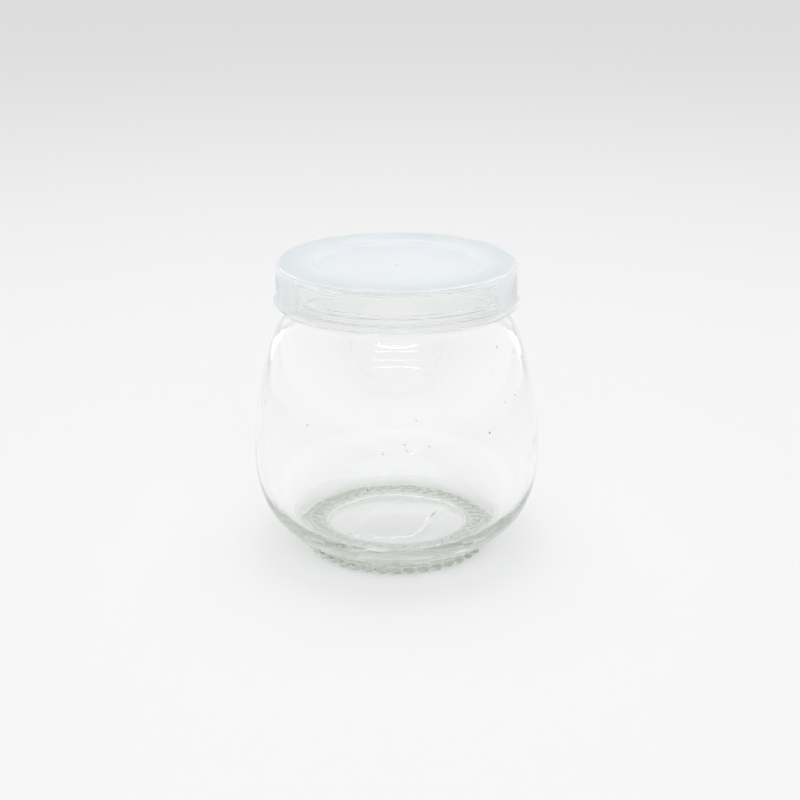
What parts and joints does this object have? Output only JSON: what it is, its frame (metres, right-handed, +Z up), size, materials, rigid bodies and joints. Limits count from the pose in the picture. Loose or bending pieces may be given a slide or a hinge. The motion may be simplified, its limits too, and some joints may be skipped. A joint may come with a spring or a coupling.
{
  "type": "glass jar",
  "caption": "Empty pot-bellied clear glass jar on a knurled foot ring, closed by a translucent push-on plastic lid with a sunk centre.",
  "frame": {"origin": "middle of the foot, on the surface that the jar stands on", "axes": "+Z up along the jar's turning axis; the jar is round, so +X and +Y are free"},
  "size_m": [0.072, 0.072, 0.0741],
  "materials": {
    "clear_glass": "fire-polished, faint green in the thick base",
    "lid_plastic": "translucent milky plastic, soft gloss"
  },
  "bodies": {
    "root": {"jar": "clear_glass", "lid": "lid_plastic"}
  },
  "joints": []
}
